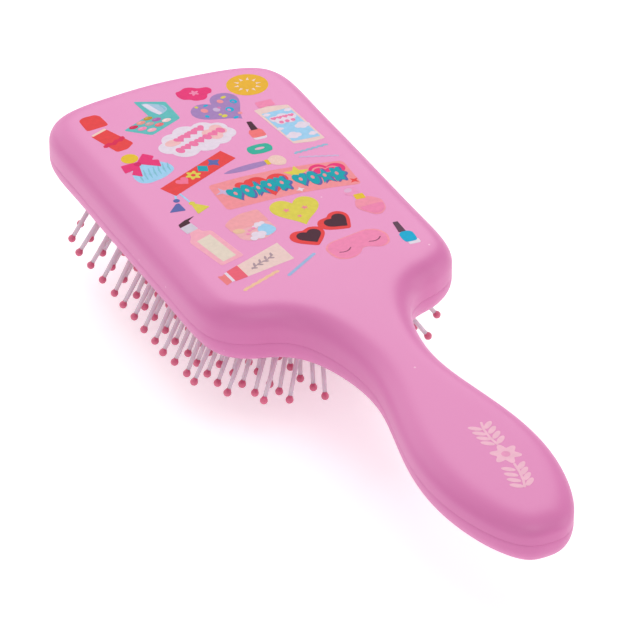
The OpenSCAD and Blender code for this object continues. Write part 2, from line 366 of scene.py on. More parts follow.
PINK = rgb(206, 111, 167)
# the pink paint gets rare pale dots painted in as glints
PAINT = make_finish("soft_touch_pink", PINK, mottle=0.012, mottle_scale=35, grain=2600, depth=0.10,
                    rough=0.42, spread=0.10, glint_specks=0.35)
INK = make_finish("printed_ink", "ink", mottle=0.05, mottle_scale=700, grain=3200, depth=0.16,
                  rough=0.55, spread=0.10, Specular_IOR_Level=0.06)
RUBBER = make_finish("cushion_rubber", rgb(236, 150, 190), mottle=0.02, mottle_scale=90, grain=1800,
                     depth=0.18, rough=0.48, spread=0.12)
# the pins take their colour from the shafts' shade attribute, which holds painted shade and pink light
# towards the root
NYLON = make_finish("pin_nylon", "shade", mottle=0.03, mottle_scale=300, grain=900, depth=0.08,
                    rough=0.36, spread=0.10, Subsurface_Weight=0.15, Subsurface_Scale=0.0006)
RESIN = make_finish("tip_resin", rgb(212, 98, 130), mottle=0.06, mottle_scale=500, grain=1200, depth=0.10,
                    rough=0.3, spread=0.10, Coat_Weight=0.25, Coat_Roughness=0.2)
TRAY = make_finish("tray_plastic", rgb(226, 214, 222), mottle=0.03, mottle_scale=120, grain=1600, depth=0.2,
                   rough=0.5, spread=0.1)


# ---- the two shells
def arc(n):
    """Angles of n equal steps up to 90 degrees."""
    return [90 * k / n for k in range(1, n + 1)]


def level(z):
    """A height that is the same all round."""
    return lambda y: 0 * y + z


def make_back_shell():
    """The printed half: hollow, with a groove's lip at the parting line and a rounded edge."""
    pts, nrm = casing_outline(OUTLINE_STEPS)
    n = len(pts)

    def height(q, inner):
        def z_of(y):
            h = back_at(y)
            low = SIDE_SHARE * h
            return low + (h - (WALL if inner else 0) - low) * sine(q)
        return z_of

    rings = []
    for q in arc(5)[::-1]:
        d = WALL + (BACK_ROUND - WALL) * (1 - cosine(q))
        rings.append(inset_ring(pts, nrm, d, height(q, True)))
    rings.append(inset_ring(pts, nrm, WALL, height(0, True)))
    rings.append(inset_ring(pts, nrm, WALL, level(0)))
    rings += [inset_ring(pts, nrm, SEAM * d, level(SEAM * z)) for d, z in (*SEAM_STEPS, (0, 2.2))]
    rings.append(inset_ring(pts, nrm, 0, height(0, False)))
    for q in arc(14):  # eased into the flat, so no edge line shows
        d = BACK_ROUND * ROUND_SPREAD * (1 - cosine(q) ** ROUND_EASE)
        rings.append(inset_ring(pts, nrm, d, height(q, False)))
    verts = np.vstack(rings)
    faces = ring_walls(len(rings), n) + mirror_cap(0, n, True) + mirror_cap((len(rings) - 1) * n, n)
    return add_piece("casing_back", verts, faces, sharp=SHARP)


def make_front_shell():
    """The half with the cushion's window in its flat face."""
    pts, nrm = casing_outline(OUTLINE_STEPS)
    n = len(pts)
    side = FRONT_DEPTH - FRONT_ROUND
    rings = []
    for q in arc(5)[::-1]:
        s, c = sine(q), cosine(q)
        rings.append(inset_ring(pts, nrm, WALL + (FRONT_ROUND - WALL) * (1 - c),
                                level(-side - (FRONT_DEPTH - WALL - side) * s)))
    rings.append(inset_ring(pts, nrm, WALL, level(-side)))
    rings.append(inset_ring(pts, nrm, WALL, level(0)))
    rings += [inset_ring(pts, nrm, SEAM * d, level(-SEAM * z)) for d, z in SEAM_STEPS]
    rings.append(inset_ring(pts, nrm, 0, level(-side)))
    for q in arc(12):
        s, c = sine(q), cosine(q)
        rings.append(inset_ring(pts, nrm, FRONT_ROUND * (1 - c), level(-side - FRONT_ROUND * s)))
    verts = list(map(tuple, np.vstack(rings)))
    faces = ring_walls(len(rings), n, True)
    # flat faces with the window in them, and the window's rounded wall
    for outer, grow, z, up in ((rings[-1], LIP, -FRONT_DEPTH, False), (rings[0], 0, FLOOR_Z, True)):
        v, f = fill_between(outer[:, :2], rounded_window(grow), z, up)
        faces += [[len(verts) + i for i in t] for t in f]
        verts += v
    wall = []
    for q in [0] + arc(6):
        a = radians(q)
        ring = rounded_window(LIP * (1 - sin(a)))
        wall.append(raised(ring, -FRONT_DEPTH + LIP * (1 - cos(a))))
    ring = rounded_window(0)
    wall.append(raised(ring, FLOOR_Z))
    faces += [[len(verts) + i for i in t] for t in ring_walls(len(wall), len(ring))]
    verts += list(map(tuple, np.vstack(wall)))
    ob = add_piece("casing_front", verts, faces)
    weld(ob)
    ob.data.shade_smooth()
    ob.data.set_sharp_from_angle(angle=radians(SHARP))
    return ob


# ---- air cushion
def dome_z(x, y):
    """Height of the domed membrane above the parting plane, x and y from the cushion's centre."""
    return CREST_Z + CURVE_Y - np.sqrt((CURVE_Y - CURVE_X + np.sqrt(CURVE_X ** 2 - x * x)) ** 2 - y * y)


def make_cushion():
    """Domed rubber membrane: the edge rolls into the window, a flange holds it inside."""
    rim = rounded_window(-PAD_GAP)
    centre = np.array([0, PAD_Y])
    n = len(rim)
    rings = []

    def surface(ring, lift):
        z = dome_z(ring[:, 0], ring[:, 1] - PAD_Y)
        return np.minimum(z, FLOOR_Z - PAD_SINK) + lift

    shares = np.linspace(0.04, 1, 26)
    inner_edge = rounded_window(-PAD_GAP - PAD_EDGE)
    for s in shares:  # outer skin, centre to edge
        ring = centre + (inner_edge - centre) * s
        rings.append(raised(ring, surface(ring, 0)))
    base = surface(inner_edge, 0)
    for q in arc(6):  # the roll into the window
        a = radians(q)
        ring = rounded_window(-PAD_GAP - PAD_EDGE * (1 - sin(a)))
        rings.append(raised(ring, base + PAD_EDGE * (1 - cos(a))))
    rings.append(raised(rim, np.maximum(base + PAD_EDGE, FLOOR_Z)))
    for grow, z in ((FLANGE_OUT, FLOOR_Z), (FLANGE_OUT, FLOOR_Z + FLANGE), (-FLANGE_IN, FLOOR_Z + FLANGE)):
        rings.append(raised(rounded_window(grow), z))
    for s in shares[::-1]:  # inner skin, edge to centre
        ring = centre + (rounded_window(-SKIN_IN) - centre) * s
        rings.append(raised(ring, np.minimum(surface(ring, MEMBRANE), FLOOR_Z + FLANGE - SKIN_SINK)))
    verts = list(map(tuple, np.vstack(rings)))
    faces = ring_walls(len(rings), n)
    for first, z, flip in ((0, CREST_Z, True), ((len(rings) - 1) * n, CREST_Z + MEMBRANE, False)):
        verts.append((0, PAD_Y, z))
        for i in range(n):
            tri = (first + i, first + (i + 1) % n, len(verts) - 1)
            faces.append(tri[::-1] if flip else tri)
    ob = add_piece("air_cushion_rubber", verts, faces)
    weld(ob)
    ob.data.shade_smooth()
    return ob


# ---- pins
def row_columns(r):
    """Columns that row r fills; the rows at both ends are shorter."""
    skip = max(0, 3 - r, r - (ROWS - 2))
    return range(1 + skip, COLUMNS - skip + 1)


def pin_place(r, c):
    """Root point and outward direction of one pin, from the cushion's centre."""
    x = (c - (COLUMNS + 1) / 2) * COLUMN_PITCH
    y = (r - (ROWS + 1) / 2) * ROW_PITCH
    t = y / (ROW_PITCH * (ROWS - 1) / 2)
    u = x / (COLUMN_PITCH * (COLUMNS - 1) / 2)
    across = LEAN_ACROSS * u * (1 + LEAN_BULGE * (1 - abs(u))) * (1 + LEAN_FLARE * t * t)
    along = (LEAN_NEAR if t < 0 else LEAN_FAR) * t * (0.7 + 0.3 * t * t)
    d = Vector((across, along, -1))
    return (x, PAD_Y + y, float(dome_z(x, y))), d.normalized()


def root_points(name, rows):
    """Loose points at the pin roots, each with its direction and a number of its own."""
    roots = [pin_place(r, c) for r in rows for c in row_columns(r)]
    keys = [r * 100 + c for r in rows for c in row_columns(r)]
    mesh = bpy.data.meshes.new(name)
    mesh.from_pydata([tuple(v) for v in to_row([p for p, d in roots])], [], [])
    lean = mesh.attributes.new("lean", "FLOAT_VECTOR", "POINT")
    lean.data.foreach_set("vector", [v for p, d in roots for v in d])
    mesh.attributes.new("key", "INT", "POINT").data.foreach_set("value", keys)
    return place(name, mesh)


def lathe(name, profile, sides):
    """Closed turned shape about Z from (radius, height) pairs in mm; end radii may be 0."""
    verts, faces, rows = [], [], []
    for r, z in profile:
        if r == 0:
            rows.append([len(verts)])
            verts.append((0, 0, z * MM))
        else:
            rows.append(list(range(len(verts), len(verts) + sides)))
            verts += [(r * MM * cos(2 * pi * k / sides), r * MM * sin(2 * pi * k / sides),
                       z * MM) for k in range(sides)]
    for lo, hi in zip(rows, rows[1:]):
        for k in range(sides):
            a, b = lo[k % len(lo)], lo[(k + 1) % len(lo)]
            c, d = hi[(k + 1) % len(hi)], hi[k % len(hi)]
            faces.append([v for j, v in enumerate((a, b, c, d)) if v not in (a, b, c, d)[:j]])
    mesh = bpy.data.meshes.new(name)
    mesh.from_pydata(verts, [], faces)
    mesh.update()
    return place(name, mesh)


def make_stud_tree():
    """Puts one turned shape on every root point, along its lean, with a small wander and bow."""
    t = bpy.data.node_groups.new("stand_on_roots", "GeometryNodeTree")
    for name, kind, val in (("Geometry", "Geometry", None), ("Turned Shape", "Object", None),
                            ("Wander", "Float", WANDER), ("Bow", "Float", BOW), ("Reach", "Float", 0.018),
                            ("Seed", "Int", SEED), ("Material", "Material", None)):
        group_socket(t, name, "NodeSocket" + kind, "INPUT", val)
    group_socket(t, "Geometry", "NodeSocketGeometry", "OUTPUT")
    given = node(t, "NodeGroupInput").outputs

    def named(name, kind="FLOAT_VECTOR"):
        return node(t, "GeometryNodeInputNamedAttribute", {"Name": name}, data_type=kind).outputs["Attribute"]

    def position():
        return node(t, "GeometryNodeInputPosition").outputs["Position"]

    def random_vector(offset):
        seed = node(t, "FunctionNodeIntegerMath", {0: given["Seed"], 1: offset}, operation="ADD").outputs[0]
        return node(t, "FunctionNodeRandomValue", {
            0: (-1, -1, -1), 1: (1, 1, 1), "ID": named("key", "INT"), "Seed": seed},
            data_type="FLOAT_VECTOR").outputs[0]

    def scaled(vec, by):
        return node(t, "ShaderNodeVectorMath", {0: vec, "Scale": by}, operation="SCALE").outputs[0]

    aim = node(t, "ShaderNodeVectorMath", {0: named("lean"), 1: scaled(random_vector(0), given["Wander"])},
               operation="ADD").outputs[0]
    turn = node(t, "FunctionNodeAlignRotationToVector", {"Vector": aim}, axis="Z").outputs["Rotation"]
    shape = node(t, "GeometryNodeObjectInfo", {"Object": given["Turned Shape"]}).outputs["Geometry"]
    flow = node(t, "GeometryNodeInstanceOnPoints", {
        "Points": given["Geometry"], "Instance": shape, "Rotation": turn}).outputs["Instances"]
    for name, val in (("bow", scaled(random_vector(31), given["Bow"])), ("root", position())):
        flow = node(t, "GeometryNodeStoreNamedAttribute", {"Name": name, "Geometry": flow, "Value": val},
                    data_type="FLOAT_VECTOR", domain="INSTANCE").outputs["Geometry"]
    flow = node(t, "GeometryNodeRealizeInstances", {"Geometry": flow}).outputs["Geometry"]
    # bow: sideways shift that grows with the square of the distance from the root
    far = node(t, "ShaderNodeVectorMath", {0: position(), 1: named("root")}, operation="DISTANCE")
    part = node(t, "ShaderNodeMath", {0: far.outputs["Value"], 1: given["Reach"]}, operation="DIVIDE")
    square = node(t, "ShaderNodeMath", {0: part.outputs[0], 1: 2.0}, operation="POWER")
    flow = node(t, "GeometryNodeSetPosition", {
        "Geometry": flow, "Offset": scaled(named("bow"), square.outputs[0])}).outputs["Geometry"]
    flow = node(t, "GeometryNodeSetMaterial", {"Geometry": flow, "Material": given["Material"]})
    node(t, "NodeGroupOutput", {"Geometry": flow.outputs["Geometry"]})
    return t


STUDS = make_stud_tree()


def stand(name, rows, shape, material, bow=BOW):
    """One plain mesh of turned shapes standing on the roots of the given rows."""
    host = root_points(name + "_roots", rows)
    mod = host.modifiers.new("stand", "NODES")
    mod.node_group = STUDS
    ids = {s.name: s.identifier for s in STUDS.interface.items_tree if s.in_out == "INPUT"}
    for key, val in (("Turned Shape", shape), ("Wander", WANDER), ("Bow", bow), ("Reach", PIN_LENGTH * MM),
                     ("Seed", SEED), ("Material", material)):
        mod[ids[key]] = val
    bpy.context.view_layer.update()
    deps = bpy.context.evaluated_depsgraph_get()
    mesh = bpy.data.meshes.new_from_object(host.evaluated_get(deps))
    bpy.data.objects.remove(host)
    mesh.name = name
    for extra in ("bow", "root", "lean", "key"):
        if extra in mesh.attributes:
            mesh.attributes.remove(mesh.attributes[extra])
    mesh.shade_smooth()
    return place(name, mesh)


def make_pin_shapes():
    """The three turned shapes of a pin: shaft with its hidden head, ball tip, and rubber collar."""
    back = MEMBRANE + HEAD_GAP
    root, end, head = SHAFT_ROOT / 2, SHAFT_END / 2, HEAD_RADIUS
    stop = PIN_LENGTH - SHAFT_SHORT
    shaft = lathe("shaft_shape", [
        (0, -back - HEAD_THICK), (head, -back - HEAD_THICK), (head, -back), (root, -back), (root, 0),
        (root * 0.7 + end * 0.3, stop * 0.33), (root * 0.25 + end * 0.75, stop * 0.7), (end, stop),
        (0, stop)], 10)
    # shaft colour: pale lilac nylon, painted darker and pinker towards the root as painted shade and the pink
    # light that shows through the nylon there
    shade = shaft.data.attributes.new("shade", "FLOAT_COLOR", "POINT")
    low, high = rgb(214, 170, 192), rgb(214, 196, 208)
    for i, v in enumerate(shaft.data.vertices):
        k = min(1, max(0, v.co.z / MM / PIN_LENGTH)) ** 0.6
        shade.data[i].color = (*[a + (b - a) * k for a, b in zip(low, high)], 1)
    r = BALL / 2
    ball = [(0, PIN_LENGTH - r), (end + 0.03, PIN_LENGTH - r)]
    for q in (-48, -22, 4, 30, 58):
        ball.append((r * cosine(q), PIN_LENGTH + r * sine(q)))
    tip = lathe("ball_shape", ball + [(0, PIN_LENGTH + r)], 12)
    collar = lathe("collar_shape", [(0, -0.5), (1.7, -0.5), (1.6, 0.1), (1.3, 0.34), (root + 0.12, 0.4),
                                    (root + 0.02, 0.1), (0, 0.1)], 12)
    return shaft, tip, collar


# ---- printed pictures on the back
LAYER = 0.015  # each ink layer stands this much above the one below
INK_DEPTH = 0.84  # darkens every ink a little
INK_SINK = 0.02  # the underside lies this far inside the casing
STAGGER, STAGGERS = 0.0004, 30  # extra heights, so shapes drawn one after another share no plane


class Print:
    """Collects flat printed shapes and turns them into one thin closed mesh with a colour for each."""

    def __init__(self):
        self.verts, self.faces, self.colours, self.count = [], [], [], 0

    def add(self, ring, colour, layer=1):
        """A closed ring as it stands."""
        ring = np.asarray(ring, float)
        area = 0.5 * np.sum(ring[:, 0] * np.roll(ring[:, 1], -1) - np.roll(ring[:, 0], -1) * ring[:, 1])
        if area < 0:
            ring = ring[::-1]
        n, first = len(ring), len(self.verts)
        z = back_at(ring[:, 1])
        self.count += 1
        lift = LAYER * layer + self.count % STAGGERS * STAGGER
        self.verts += [(x, y, h - INK_SINK) for (x, y), h in zip(ring, z)]
        self.verts += [(x, y, h + lift) for (x, y), h in zip(ring, z)]
        faces = [list(range(n))[::-1], list(range(n, 2 * n))]
        faces += [[i, (i + 1) % n, n + (i + 1) % n, n + i] for i in range(n)]
        self.faces += [[first + v for v in f] for f in faces]
        self.colours += [tuple(INK_DEPTH * v for v in rgb(*colour))] * len(faces)

    def patch(self, corners, radius, colour, layer=1):
        """A polygon with rounded corners."""
        self.add(rounded(corners, radius), colour, layer)

    def put(self, shape, where, colour, layer=1):
        """A shape moved to where: x and y, then any turn in degrees and any scale."""
        self.add(turned(shape, *where), colour, layer)

    def finish(self, name):
        """The printed mesh, with one ink colour for each face."""
        ob = add_piece(name, self.verts, self.faces, smooth=False)
        ink = ob.data.attributes.new("ink", "FLOAT_COLOR", "FACE")
        for i, c in enumerate(self.colours):
            ink.data[i].color = (*c, 1)
        return ob


def turned(ring, x, y, angle=0, scale=1):
    """A ring scaled, turned anticlockwise and moved."""
    c, s = cosine(angle), sine(angle)
    m = np.array([[c, s], [-s, c]]) * scale
    return np.asarray(ring, float) @ m + [x, y]


def oval(rx, ry, n=28):
    return [(rx * cos(2 * pi * k / n), ry * sin(2 * pi * k / n)) for k in range(n)]


def rounded(corners, r, n=5):
    """A polygon with its corners rounded."""
    p = np.asarray(corners, float)
    out = []
    for i in range(len(p)):
        a, b, c = p[i - 1], p[i], p[(i + 1) % len(p)]
        la, lc = np.linalg.norm(a - b), np.linalg.norm(c - b)
        k = min(r, la * 0.45, lc * 0.45)
        s, e = b + (a - b) / la * k, b + (c - b) / lc * k
        for j in range(n + 1):
            t = j / n
            out.append((1 - t) ** 2 * s + 2 * t * (1 - t) * b + t * t * e)
    return out


def bar(w, h, r):
    return rounded([(-w / 2, -h / 2), (w / 2, -h / 2), (w / 2, h / 2), (-w / 2, h / 2)], r)


def heart(size, plump=0.22, n=48):
    """A heart of the given width, point down; plump rounds its sides."""
    out = []
    for k in range(n):
        t = 2 * pi * k / n
        x = 16 * sin(t) ** 3
        y = 13 * cos(t) - 5 * cos(2 * t) - 2 * cos(3 * t) - cos(4 * t)
        x += plump * (15.5 * sin(t) - x)
        y += plump * (15 * cos(t) - 2.5 - y)
        out.append((x * size / 32, (y + 2.5) * size / 32))
    return out


def star(r, points=5, waist=0.45):
    out = []
    for k in range(2 * points):
        far = r * (1 if k % 2 == 0 else waist)
        out.append((far * sin(pi * k / points), far * cos(pi * k / points)))
    return out


def flower(r, petals=5, depth=0.22, n=60):
    out = []
    for k in range(n):
        far = r * (1 + depth * cos(petals * 2 * pi * k / n))
        out.append((far * cos(2 * pi * k / n), far * sin(2 * pi * k / n)))
    return out


def cloud(puffs, n=96):
    """Outline of round puffs (x, y, r) seen from the middle."""
    out = []
    for k in range(n):
        a = 2 * pi * k / n
        d = np.array([cos(a), sin(a)])
        far = 0.1
        for x, y, r in puffs:
            b = x * d[0] + y * d[1]
            q = b * b - (x * x + y * y - r * r)
            if q > 0:
                far = max(far, b + sqrt(q))
        out.append(d * far)
    return out


def stroke(points, width, taper=0.0):
    """A strip along points, with round ends."""
    p = np.asarray(points, float)
    d = np.gradient(p, axis=0)
    nrm = np.stack([-d[:, 1], d[:, 0]], 1) / np.linalg.norm(d, axis=1)[:, None]
    w = width / 2 * (1 - taper * np.abs(np.linspace(-1, 1, len(p))) ** 3)
    left, right = p + nrm * w[:, None], p - nrm * w[:, None]
    end = p[-1] + (p[-1] - p[-2]) / np.linalg.norm(p[-1] - p[-2]) * w[-1] * 0.8
    start = p[0] - (p[1] - p[0]) / np.linalg.norm(p[1] - p[0]) * w[0] * 0.8
    return list(left) + [end] + list(right[::-1]) + [start]


def line(a, b, n=6):
    """Even points from a to b."""
    return [np.array(a) + (np.array(b) - np.array(a)) * k / (n - 1) for k in range(n)]


def zigzag(a, b, teeth, high):
    """A line that swings to either side by high."""
    p = line(a, b, 2 * teeth + 1)
    d = (p[-1] - p[0]) / np.linalg.norm(p[-1] - p[0])
    side = np.array([-d[1], d[0]])
    return [q + side * high * (1 if k % 2 else -1) for k, q in enumerate(p)]


RED, CORAL, CRIMSON, SALMON = (233, 68, 70), (243, 118, 120), (208, 36, 84), (243, 146, 154)
TEAL, AQUA, CYAN, SKY = (98, 190, 190), (18, 163, 178), (12, 172, 212), (160, 208, 240)
HOT, ROSE, BLUSH, CREAM = (233, 52, 120), (242, 138, 178), (246, 172, 190), (238, 206, 200)
YELLOW, GOLD, LIME, PURPLE = (232, 194, 48), (236, 180, 50), (222, 208, 80), (166, 130, 188)
NAVY, LILAC, MIST, PLUM = (94, 104, 172), (206, 178, 214), (232, 217, 232), (76, 38, 54)
CANDY, PEONY, SHELL, TAUPE = (240, 120, 168), (240, 128, 172), (243, 190, 192), (176, 150, 160)


def print_make_up(ink):
    """The upper half of the back: lipstick, palette, lips, disc, heart, cloud, bottles."""
    add, put, patch = ink.add, ink.put, ink.patch
    # lipstick: cap above, tube below
    patch([(-29.1, 219.8), (-28.9, 226.2), (-27.2, 227.3), (-23.4, 227.3), (-22.3, 226), (-22, 220.4)], 1.1,
        RED)
    patch([(-29.3, 216.9), (-23.8, 218.8), (-19.7, 208.4), (-22.6, 206.1), (-26, 205.8)], 0.9, RED)
    patch([(-29, 217.2), (-24, 219.2), (-23.7, 218.3), (-28.8, 216.4)], 0.3, (243, 206, 190), 2)
    add(stroke([(-27.9, 209.9), (-26.2, 210.8), (-25, 210.3), (-23.6, 211.6), (-22.6, 211.3), (-21.3, 212.6)],
        1.5), (222, 40, 84), 2)
    # open eye-colour palette with its mirror
    patch([(-19.5, 215.6), (-10, 220), (-2, 217), (-2, 214.7), (-13.2, 209.7)], 0.8, TEAL)
    patch([(-10.4, 228.9), (-2, 224.9), (-2, 214.8), (-9.7, 219.2)], 0.7, TEAL, 2)
    patch([(-9.1, 226.8), (-7.4, 226.4), (-3.4, 223.6), (-3, 220.8), (-6.4, 218.6), (-8.2, 221.6)], 1.6,
        (166, 198, 222), 3)
    patch([(-9, 226.4), (-7.2, 226), (-6.6, 223.6), (-5.4, 219.4), (-6.7, 218.9), (-7.9, 221.8)], 1,
        (226, 218, 236), 4)
    add(stroke([(-4.3, 223.9), (-3.9, 222.6), (-3.9, 221.2)], 0.6), (140, 190, 214), 5)
    pans = [(-16.2, 216, CRIMSON), (-13.3, 217.3, (233, 150, 140)), (-10.5, 218.6, (190, 148, 52)),
        (-14.3, 214.2, ROSE), (-11.3, 215.7, (196, 158, 160)), (-8.5, 217, (176, 100, 170)),
        (-12.1, 212.4, BLUSH), (-9, 214.1, (235, 110, 120)), (-6.1, 215.4, (243, 206, 206))]
    for x, y, c in pans:
        put(oval(1.45, 0.9, 18), (x, y, 6), c, 3)
        put(oval(0.7, 0.3, 10), (x - 0.3, y + 0.3, 20), tuple(min(255, v + 22) for v in c), 4)
    # lips and disc
    add(rounded([(2.2, 225.6), (2.6, 228.2), (4.3, 228.3), (5.9, 229.4), (8, 228.9), (9.4, 227.4),
        (12.3, 227.1), (13.1, 225.4), (12.1, 223.5), (10.7, 223.5), (10.1, 221.9), (8.8, 220.9), (6, 221.3),
        (4.7, 222.9), (3.1, 223.4)], 0.9, 3), HOT)
    put(flower(1.15, 5, 0.34, 30), (7.5, 225.5, 20), ROSE, 2)
    put(oval(6.2, 6, 56), (23.4, 222.9), GOLD)
    put(star(4.2, 10, 0.5), (23.4, 222.9, 10), (243, 216, 200), 2)
    put(oval(2.7, 2.7), (23.4, 222.9), GOLD, 3)
    # spotted heart
    put(heart(16.8, 0.1), (10.9, 213.5, 23), PURPLE)
    spots = [(5.9, 215.2, 1, 1.25, SALMON), (12.2, 217.9, 0.9, 1.1, SALMON), (12.8, 212.7, 1.2, 1.4, CYAN),
        (15.7, 216.3, 1, 1.3, CYAN), (9.9, 210.1, 0.9, 0.8, LIME), (5.3, 212, 0.6, 0.8, CYAN),
        (14, 219.6, 0.9, 0.6, LIME), (12.5, 207.9, 0.9, 0.6, CYAN), (4.6, 217.9, 0.5, 0.6, LIME),
        (9.3, 214.2, 1, 1.2, LILAC), (14.6, 209.6, 0.7, 0.7, SALMON), (7.4, 217.6, 0.8, 0.5, CYAN),
        (9.1, 211.3, 0.5, 0.5, LIME), (10.4, 214.9, 0.5, 0.6, (214, 120, 180))]
    for x, y, a, b, c in spots:
        put(oval(a, b, 14), (x, y, 15), c, 2)
    put(oval(0.5, 0.7, 12), (12.5, 212.5, 15), (230, 140, 190), 3)
    put(oval(0.4, 0.5, 12), (15.5, 216.1, 15), PURPLE, 3)
    # cloud badge with two rows of charms
    puffs = [(-9, 204.4, 3.5), (-4.3, 206.3, 3.9), (1.2, 206.4, 3.6), (5, 204.9, 3.1), (6.3, 201.6, 2.9),
        (3.6, 199.8, 3.2), (-1.5, 199, 4.1), (-8, 198.8, 4.4), (-11.8, 201.2, 3.2), (-3, 202.4, 5)]
    put(cloud([(x + 3, y - 202.4, r) for x, y, r in puffs], 120), (-3, 202.4), MIST)
    put(oval(2.6, 1.7), (-9.7, 203.2, 8), SHELL, 2)
    put(cloud([(-2.4, 0.2, 1.9), (0.8, 1.2, 1.9), (1.5, -0.8, 1.6), (-1.2, -2.2, 2), (0, 0, 1.6)], 48),
        (4, 203.8, 8), SHELL, 2)
    for k in range(4):
        put(heart(3.5, 0.15, 24), (-7.2 + 2.55 * k, 204 + 0.95 * k, 20), CANDY, 3)
    for k in range(7):
        put(heart(3.4, 0.15, 24) if k % 2 else oval(1.2, 1.6, 16), (-9.6 + 2.5 * k, 198.6 + 0.82 * k, 18),
            CANDY, 3)
    # scent bottle with a bow
    put(oval(2.6, 2.4), (-24.4, 201, 25), YELLOW, 2)
    patch([(-22.5, 197.2), (-17, 196), (-15, 192.8), (-15.3, 190.2), (-19.4, 187.6), (-24.8, 186.6),
        (-27.2, 187.8), (-27.8, 191), (-26.2, 195.6)], 2, SKY)
    for k in range(7):
        x = -25.9 + 1.55 * k
        add(stroke([(x, 188.2 + 0.35 * k), (x + 0.2, 190.5 + 0.3 * k), (x + 0.9, 193.6 + 0.15 * k)], 0.6,
            0.6), (132, 194, 214), 2)
    patch([(-28.4, 198.4), (-24.2, 198.5), (-23.5, 196.4), (-25, 190.6), (-27.4, 192.8), (-26.1, 194.9),
        (-28.8, 194.3)], 0.5, HOT, 3)
    patch([(-22.7, 199), (-20, 201.9), (-17.6, 199.3), (-19, 197.7), (-17.2, 197), (-18, 193.3),
        (-22.4, 196.6), (-23.8, 197.6)], 0.5, HOT, 3)
    put(oval(1.1, 1.1), (-23.6, 197.3), (214, 36, 104), 4)
    # nail varnish
    patch([(13.2, 199.4), (15.3, 199.2), (15.4, 203.9), (14, 204.3)], 0.3, PLUM, 3)
    put(rounded([(-2.1, -1.6), (2.1, -1.6), (1.9, 2.2), (-1.9, 2.2)], 1.2), (14, 195.6, -3), MIST)
    put(rounded([(-2.3, -2.1), (2.1, -2.3), (2.2, 1.2), (1.2, 2.5), (-1.2, 2.5), (-2.2, 1.2)], 1),
        (14.1, 197.4), CORAL, 2)
    # lotion bottle with a sky label
    put(bar(5.2, 3.4, 0.6), (23.3, 211, -2), ROSE, 2)
    patch([(18.7, 208.9), (23, 209.4), (29, 207.6), (30.3, 186.4), (26.5, 186.1), (20.9, 187.6)], 0.5, CREAM)
    patch([(19.8, 206.2), (28.5, 205.9), (29.6, 187.9), (21.2, 188.8)], 0.3, SKY, 2)
    for x, y, k in ((22.9, 191.6, 1.2), (27.6, 195.6, 1.2), (28.4, 190.2, 0.7), (21, 196.4, 0.55),
            (27.6, 205, 0.6), (20.8, 205, 0.6)):
        put(cloud([(-1, 0, 0.9), (0.1, 0.5, 1.1), (1.1, -0.1, 0.9), (0, -0.4, 1)], 32), (x, y, 0, k), MIST, 3)
    put(cloud([(-2.6, 0.8, 1.5), (0, 1.1, 1.9), (2.6, 0.7, 1.5), (1.4, -1.2, 1.5), (-1.4, -1.1, 1.5),
        (0, 0, 1)], 60), (24.5, 201, -3), MIST, 4)
    for k in range(4):
        put(heart(1.9, 0.15, 20), (21.8 + 1.8 * k, 202.2 - 0.1 * k, -3), PEONY, 5)
    for k in range(3):
        put(oval(0.7, 0.8, 12), (23 + 1.8 * k, 199.6 - 0.1 * k, -3), PEONY, 5)
    # ring, brush and hair grips
    put(rounded([(-3.9, 0), (-3.2, 2.1), (0, 2.6), (3.2, 2.1), (3.9, 0), (3.2, -2.1), (0, -2.6),
        (-3.2, -2.1)], 1.2), (11, 189.4, -2), (52, 178, 156))
    put(oval(1.5, 0.6), (11.1, 189.6, -2), (238, 176, 204), 2)
    patch([(-4.3, 181.8), (-2, 182.7), (1.5, 183.2), (5.5, 183.3), (9.3, 183), (9.3, 180.8), (5.5, 180.5),
        (1.5, 180.5), (-2, 181)], 0.8, PURPLE)
    put(bar(1.2, 2.7, 0.3), (9.8, 181.9, -2), YELLOW, 3)
    patch([(10.3, 183.2), (11.9, 184.4), (13.4, 184.5), (15, 183), (15.2, 180.4), (13.9, 178.6), (12, 178.9),
        (10.3, 180.6)], 1, (240, 202, 192), 2)
    for k in range(9):
        put(oval(0.16, 0.22, 8), (11.6 + 1.15 * (k % 3), 180.3 + 1.3 * (k // 3), 0), (250, 222, 212), 3)
    add(stroke(zigzag((18.9, 182.8), (29.2, 183.1), 6, 0.2), 0.95), (148, 186, 212))
    add(stroke(zigzag((19.2, 180.4), (29.4, 176.2), 6, 0.14), 0.75), LILAC)


